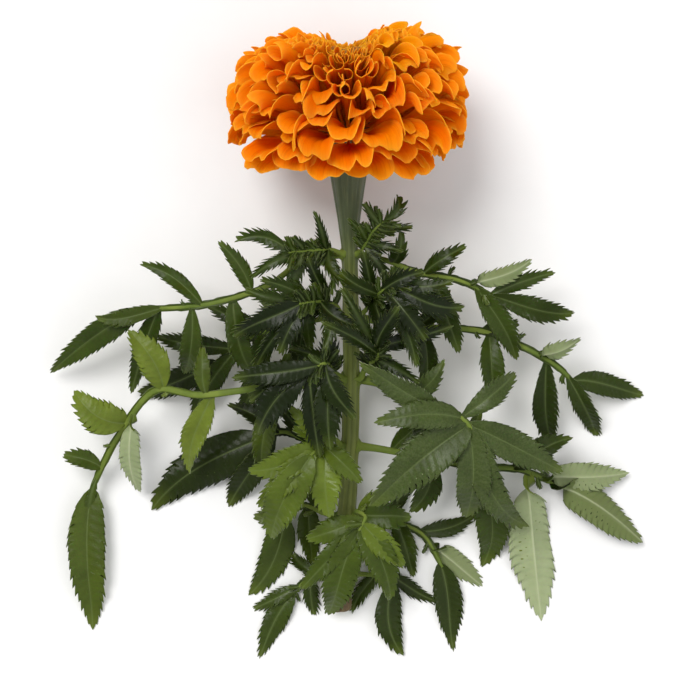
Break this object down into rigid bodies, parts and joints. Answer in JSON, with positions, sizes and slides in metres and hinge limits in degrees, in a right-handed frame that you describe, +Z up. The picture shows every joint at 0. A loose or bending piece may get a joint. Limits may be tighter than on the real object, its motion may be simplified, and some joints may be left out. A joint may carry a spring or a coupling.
{
  "type": "marigold flower",
  "caption": "Picked orange African marigold lying down: a ruffled double head on a ribbed cup, a cut stem, arching toothed compound leaves and small side shoots.",
  "frame": {"origin": "on the surface that the flower lies on, under the middle of the whole flower's box", "axes": "+Y along the flower towards the head, +X across it, +Z up from the surface. The head's own axis points along +Y and 14 degrees up"},
  "size_m": [0.228, 0.2414, 0.0855],
  "materials": {
    "petal_orange": "soft matte ray florets, ruffled, slightly translucent, deeper red-orange towards their tubes",
    "petal_inner": "matte inner ray florets, darker and more ochre than the outer ones",
    "disc_ochre": "closed ochre florets of the middle",
    "stem_green": "matte ribbed green stem and cup, browner towards the cut end",
    "leaf_green": "dark green leaflets with a satin upper face and a pale grey-green underside",
    "shoot_green": "small satin leaves of the side shoots"
  },
  "bodies": {
    "root": {"disc_florets": "disc_ochre", "leaf_1": "leaf_green", "leaf_10": "leaf_green", "leaf_11": "leaf_green", "leaf_12": "leaf_green", "leaf_2": "leaf_green", "leaf_3": "leaf_green", "leaf_4": "leaf_green", "leaf_5": "leaf_green", "leaf_6": "leaf_green", "leaf_7": "leaf_green", "leaf_8": "leaf_green", "leaf_9": "leaf_green", "ray_floret_01": "petal_orange", "ray_floret_02": "petal_orange", "ray_floret_03": "petal_orange", "ray_floret_04": "petal_orange", "ray_floret_05": "petal_orange", "ray_floret_06": "petal_orange", "ray_floret_07": "petal_orange", "ray_floret_08": "petal_orange", "ray_floret_09": "petal_orange", "ray_floret_10": "petal_orange", "ray_floret_11": "petal_orange", "ray_floret_12": "petal_orange", "ray_floret_13": "petal_orange", "ray_floret_14": "petal_orange", "ray_floret_15": "petal_orange", "ray_floret_16": "petal_orange", "ray_floret_17": "petal_orange", "ray_floret_18": "petal_orange", "ray_floret_19": "petal_orange", "ray_floret_20": "petal_orange", "ray_floret_21": "petal_orange", "ray_floret_22": "petal_orange", "ray_floret_23": "petal_orange", "ray_floret_24": "petal_orange", "ray_floret_25": "petal_orange", "ray_floret_26": "petal_orange", "ray_floret_27": "petal_orange", "ray_floret_28": "petal_orange", "ray_whorl_03": "petal_orange", "ray_whorl_04": "petal_orange", "ray_whorl_05": "petal_orange", "ray_whorl_06": "petal_orange", "ray_whorl_07": "petal_orange", "ray_whorl_08": "petal_orange", "ray_whorl_09": "petal_inner", "ray_whorl_10": "petal_inner", "ray_whorl_11": "petal_inner", "side_shoot_1": "shoot_green", "side_shoot_2": "shoot_green", "side_shoot_3": "shoot_green", "side_shoot_4": "shoot_green", "side_shoot_5": "shoot_green", "side_shoot_6": "shoot_green", "side_shoot_7": "shoot_green", "side_shoot_8": "shoot_green", "stem": "stem_green"}
  },
  "joints": []
}
